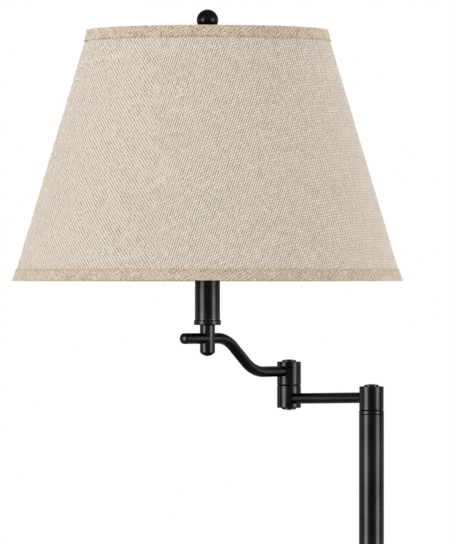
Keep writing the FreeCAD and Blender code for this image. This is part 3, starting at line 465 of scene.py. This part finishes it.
def paintWeave(look):
    finish, tree, shader = newFinish(look["name"], look["sockets"])
    cut = addNode(tree, "UVMap", uv_map=look["cut"]).outputs[0]
    sway = centred(tree, cloud(tree, cut, look["wanderScale"]))
    sway = calculate(tree, "MULTIPLY", sway, look["wander"])
    weft = yarnRows(tree, cut, look["weftTurn"], look["weftPitch"], sway)
    warp = yarnRows(tree, cut, look["warpTurn"], look["warpPitch"], sway)
    weftWave = yarnWave(tree, weft)
    warpWave = yarnWave(tree, warp)
    over = calculate(tree, "MULTIPLY", weftWave, warpWave)     # above 0 where the weft lies on top
    lift = unevenLift(tree, cut, weft, warp, look)

    # the yarns' two tones where they cross, with painted relief shade whose lean changes round the shade
    pattern = diagonalToneAndShade(tree, cut, weft, warp, look)
    tone = calculate(tree, "MULTIPLY_ADD", pattern, lift, look["middle"])
    # painted shade: the tone follows the weft yarns' height, lighter on their crowns and darker in the
    # grooves
    rows = calculate(tree, "SUBTRACT", calculate(tree, "ABSOLUTE", weftWave), look["rowMiddle"])
    tone = calculate(tree, "MULTIPLY_ADD", rows, look["rowShadeShare"], tone)
    slub = centred(tree, topSlubs(tree, weft, warp, over, look))
    tone = calculate(tree, "MULTIPLY_ADD", slub, look["slubShare"], tone)
    patches = centred(tree, cloud(tree, cut, look["patchScale"], look["patchDetail"]))
    tone = calculate(tree, "MULTIPLY_ADD", patches, look["patchShare"], tone, clamp=True)
    feed(tree, shader["Base Color"], twoTones(tree, tone, look))

    weftHeight = yarnHeight(tree, weftWave, over, 1, look)
    warpHeight = yarnHeight(tree, warpWave, over, -1, look)
    relief = calculate(tree, "MAXIMUM", weftHeight, warpHeight)
    crossings = calculate(tree, "MULTIPLY", over, lift)
    height = calculate(tree, "MULTIPLY_ADD", crossings, look["crossRelief"], relief)
    feed(tree, shader["Normal"], bump(tree, height, look["depth"]))
    return finish


sewingThread = dict(dark=(150, 128, 104), light=(188, 166, 140), scale=900, sockets={"Roughness": 0.8})


def paintThread(look):
    finish, tree, shader = newFinish("sewing_thread", look["sockets"])
    twist = cloud(tree, objectPlace(tree), look["scale"])
    feed(tree, shader["Base Color"], twoTones(tree, twist, look))
    return finish


# Small helpers for pieces

sharpAngle = radians(40)     # edges that turn further than this stay crisp
mergeWithin = 0.000001     # vertices this near to each other become one


def makeObject(name, shape, finish):
    mesh = bpy.data.meshes.new(name)
    shape.to_mesh(mesh)
    shape.free()
    mesh.materials.append(finish)
    made = bpy.data.objects.new(name, mesh)
    scene.collection.objects.link(made)
    return made


def finishPiece(name, shape, finish, body):
    piece = makeObject(name, shape, finish)
    piece.data.polygons.foreach_set("use_smooth", [True] * len(piece.data.polygons))
    piece.data.set_sharp_from_angle(angle=sharpAngle)
    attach(piece, body)
    return piece


def addSolidify(piece, thickness, offset):
    wall = piece.modifiers.new("thickness", "SOLIDIFY")
    wall.thickness = thickness
    wall.offset = offset


# A line through the places given, closed where its ends are joined
def drawOutline(shape, places, joinEnds):
    verts = [shape.verts.new(place) for place in places]
    following = verts[1:] + verts[:1] if joinEnds else verts[1:]
    for pair in zip(verts, following):
        shape.edges.new(pair)
    return verts


def roundCorners(shape, corners, rounding, segments):
    bmesh.ops.bevel(
        shape, geom=corners, offset=rounding, offset_type="OFFSET", segments=segments, profile=0.5,
        affect="VERTICES", clamp_overlap=True, material=-1,
    )


def cutLongEdges(shape, longerThan, cuts):
    edges = [edge for edge in shape.edges if edge.calc_length() > longerThan]
    bmesh.ops.subdivide_edges(shape, edges=edges, cuts=cuts)


def spinRound(shape, middle, steps):
    bmesh.ops.spin(
        shape, geom=shape.verts[:] + shape.edges[:], cent=middle, axis=(0, 0, 1), angle=tau, steps=steps,
        use_merge=True,
    )
    bmesh.ops.remove_doubles(shape, verts=shape.verts, dist=mergeWithin)
    bmesh.ops.recalc_face_normals(shape, faces=shape.faces)


# The shade is a cone, and its layers are rolled from flat cuts

shadeForm = dict(topRadius=0.1403)     # over the tape
shadeLow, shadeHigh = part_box("shade_trims")
shadeAxis = (shadeLow + shadeHigh) / 2
bottomRadius = (shadeHigh.x - shadeLow.x) / 2
shadeSlope = (bottomRadius - shadeForm["topRadius"]) / (shadeHigh.z - shadeLow.z)
coneTurn = sin(atan(shadeSlope))     # how far the flat cut turns for each turn of the cone


def shadeRadius(level):
    return shadeForm["topRadius"] + (shadeHigh.z - level) * shadeSlope


# A place on the shade; the turn is 0 at the front and grows to the right
def onShade(turn, radius, level):
    return Vector((shadeAxis.x + radius * sin(turn), shadeAxis.y - radius * cos(turn), level))


# The same place on the cloth before it was rolled up
def flatCut(turn, level):
    slant = shadeRadius(level) / coneTurn
    return Vector((slant * sin(turn * coneTurn), -slant * cos(turn * coneTurn)))


def turnOf(spot):
    return atan2(spot.x - shadeAxis.x, shadeAxis.y - spot.y)


# How far a place lies inside the shade's outer face, measured level
def insetOf(spot):
    return shadeRadius(spot.z) - (spot.xy - shadeAxis.xy).length


shadeCloth = dict(
    inset=0.00156, thickness=0.0005, rimRoom=0.0009, lap=0.013, lapRise=0.0006, columns=300, rows=40,
)
halfGrid = 0.5     # the grid runs this far each way before it is rolled up


def rollCloth(cloth):
    shape = bmesh.new()
    cut = shape.loops.layers.uv.new("cut")
    bmesh.ops.create_grid(shape, x_segments=cloth["columns"], y_segments=cloth["rows"], size=halfGrid)
    low, high = shadeLow.z + cloth["rimRoom"], shadeHigh.z - cloth["rimRoom"]
    flat = {}
    for vert in shape.verts:
        level = low + (vert.co.y + halfGrid) * (high - low)
        radius = shadeRadius(level) - cloth["inset"]
        lapTurn = cloth["lap"] / radius
        turn = -pi + (vert.co.x + halfGrid) * (tau + lapTurn)
        lapShare = min(1, max(0, 1 + (turn - pi) / lapTurn))     # the end climbs over the beginning
        flat[vert] = flatCut(turn, level)
        vert.co = onShade(turn, radius + lapShare * cloth["lapRise"], level)
    for face in shape.faces:
        for loop in face.loops:
            loop[cut].uv = flat[loop.vert]
    return shape


tape = dict(
    width=0.0135, wall=0.0015, thinEdge=0.0007, fold=0.0008, foldHeight=0.010, pocketInset=0.00612,
    pocketHeight=0.0044, flapInset=0.00298, cutWidth=0.030, rounding=0.0006, roundSegments=3, legCuts=5,
    columns=300, waveDepth=0.00035, waveEdge=0.0005, waveScale=46, edgeWaveFiner=1.7, rimWaveShare=0.3,
)


# The corners of the tape's two legs, as insets from the shade's face and heights from its rim
def tapeCorners(tape):
    foldInset = tape["pocketInset"] + tape["fold"]
    flapFoot = tape["pocketHeight"] + tape["flapInset"]
    flapBack = tape["flapInset"] + tape["fold"]
    return (
        (tape["wall"] - tape["thinEdge"], tape["width"]), (0, 0), (foldInset, 0),
        (foldInset, tape["pocketHeight"]), (flapBack, flapFoot), (flapBack, tape["foldHeight"]),
        (tape["flapInset"], tape["foldHeight"]), (tape["flapInset"], flapFoot - tape["fold"]),
        (tape["pocketInset"], tape["pocketHeight"] - tape["fold"] / 2),
        (tape["pocketInset"], tape["fold"]), (tape["wall"], tape["fold"]), (tape["wall"], tape["width"]),
    )


# Slight waves in the tape's outer leg, least at the rim
def waveTape(shape, tape, rim, inward):
    for vert in shape.verts:
        out = Vector((vert.co.x - shadeAxis.x, vert.co.y - shadeAxis.y, 0)).normalized()
        edgeShare = min(1, abs(vert.co.z - rim) / tape["width"])
        waveShare = tape["rimWaveShare"] + (1 - tape["rimWaveShare"]) * edgeShare
        if insetOf(vert.co) < tape["flapInset"]:
            wave = noise.noise(vert.co * tape["waveScale"])
            vert.co += out * wave * tape["waveDepth"] * waveShare
            edgeWave = noise.noise(vert.co * tape["waveScale"] * tape["edgeWaveFiner"])
            vert.co.z += inward * edgeWave * tape["waveEdge"] * edgeShare


# The tape's flat coordinates: the way round the rim, and the way up and in from it
def layTapeCut(shape, cut, rim):
    for face in shape.faces:
        middleTurn = turnOf(face.calc_center_median())
        for loop in face.loops:
            spot = loop.vert.co
            turn = turnOf(spot)
            turn += tau * round((middleTurn - turn) / tau)
            loop[cut].uv = (turn * shadeRadius(rim), spot.z - rim + insetOf(spot))


# A closed outline through the tape's two legs, drawn at the back and spun round the shade
def foldedTape(tape, rim, inward):
    shape = bmesh.new()
    cut = shape.loops.layers.uv.new("cut")
    places = []
    for inset, height in tapeCorners(tape):
        level = rim + inward * height
        places.append(onShade(pi, shadeRadius(level) - inset, level))
    corners = drawOutline(shape, places, True)
    roundCorners(shape, corners, tape["rounding"], tape["roundSegments"])
    cutLongEdges(shape, tape["width"] / 2, tape["legCuts"])
    spinRound(shape, shadeAxis, tape["columns"])
    waveTape(shape, tape, rim, inward)
    layTapeCut(shape, cut, rim)
    return shape


stitch = dict(pitch=0.0027, length=0.0019, thickness=0.00045, fromEdge=0.0011, proudShare=0.15)


def sewStitches(stitch, rim, inward):
    shape = bmesh.new()
    level = rim + inward * (tape["width"] - stitch["fromEdge"])
    radius = shadeRadius(level) + stitch["thickness"] * stitch["proudShare"]
    count = round(tau * radius / stitch["pitch"])
    halfSize = Vector((stitch["length"], stitch["thickness"], stitch["thickness"])) / 2
    for number in range(count):
        turn = tau * number / count
        place = Matrix.Translation(onShade(turn, radius, level)) @ Matrix.Rotation(turn, 4, "Z")
        place = place @ Matrix.Diagonal((*halfSize, 1))
        bmesh.ops.create_icosphere(shape, subdivisions=1, radius=1, matrix=place)
    return shape


# The felt under the base

feltPad = dict(steps=160, rounding=0.0005, roundSegments=2, rings=14)
feltLow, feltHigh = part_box("base_felt")
feltMiddle = (feltLow + feltHigh) / 2
feltWidth = feltHigh.x - feltLow.x


def cutFelt(felt):
    shape = bmesh.new()
    rim = feltMiddle.x + feltWidth / 2
    outline = (
        (feltMiddle.x, feltMiddle.y, feltLow.z), (rim, feltMiddle.y, feltLow.z),
        (rim, feltMiddle.y, feltHigh.z), (feltMiddle.x, feltMiddle.y, feltHigh.z),
    )
    corners = drawOutline(shape, outline, False)
    roundCorners(shape, corners[1:3], felt["rounding"], felt["roundSegments"])     # the two at the rim
    cutLongEdges(shape, feltWidth / 4, felt["rings"])
    spinRound(shape, feltMiddle, felt["steps"])
    return shape


# Making

setCamera(cameraView)
for lamp in stripLamps:
    addLamp(lamp, True)
for lamp in softLamps:
    addLamp(lamp, False)
paintWorld(softWorld)
layFloor(floorDisc)
print("camera, lamps and floor are set")

finishes = dict(
    burlap=paintWeave(burlapCloth), trim_tape=paintWeave(tapeCloth), felt=paintFelt(pressedFelt),
    dark_metal=paintDarkBronze(darkBronze), cast_iron=paintGrained("raw_cast_iron", castIron),
    frosted_glass=paintGrained("frosted_bulb", frostedBulb),
)
for name, look in platedMetals.items():
    finishes[name] = paintPlatedMetal(name, look)
for name, look in mouldedGoods.items():
    finishes[name] = paintGrained(name + "_finish", look)
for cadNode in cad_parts.values():
    for slot in cadNode.material_slots:
        slot.material = finishes[slot.material.name]
print("finishes are on the metal and plastic pieces")

cloth = finishPiece("shade_cloth", rollCloth(shadeCloth), finishes["burlap"], "shade")
addSolidify(cloth, shadeCloth["thickness"], -1)
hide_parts("shade_fabric")
print("the shade's cloth is rolled")

threadFinish = paintThread(sewingThread)
shadeEnds = (("top", shadeHigh.z, -1, shadeForm["topRadius"]), ("bottom", shadeLow.z, 1, bottomRadius))
for end, rim, inward, radius in shadeEnds:
    shape = foldedTape(tape, rim, inward)
    folded = finishPiece("tape_" + end, shape, finishes["trim_tape"], "shade")
    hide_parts("shade_trims")
    row = sewStitches(stitch, rim, inward)
    thread = finishPiece("stitches_" + end, row, threadFinish, "shade")
print("the shade's tapes are folded and sewn")

pad = finishPiece("felt_pad", cutFelt(feltPad), finishes["felt"], "stand")
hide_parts("base_felt")
print("the felt is cut")
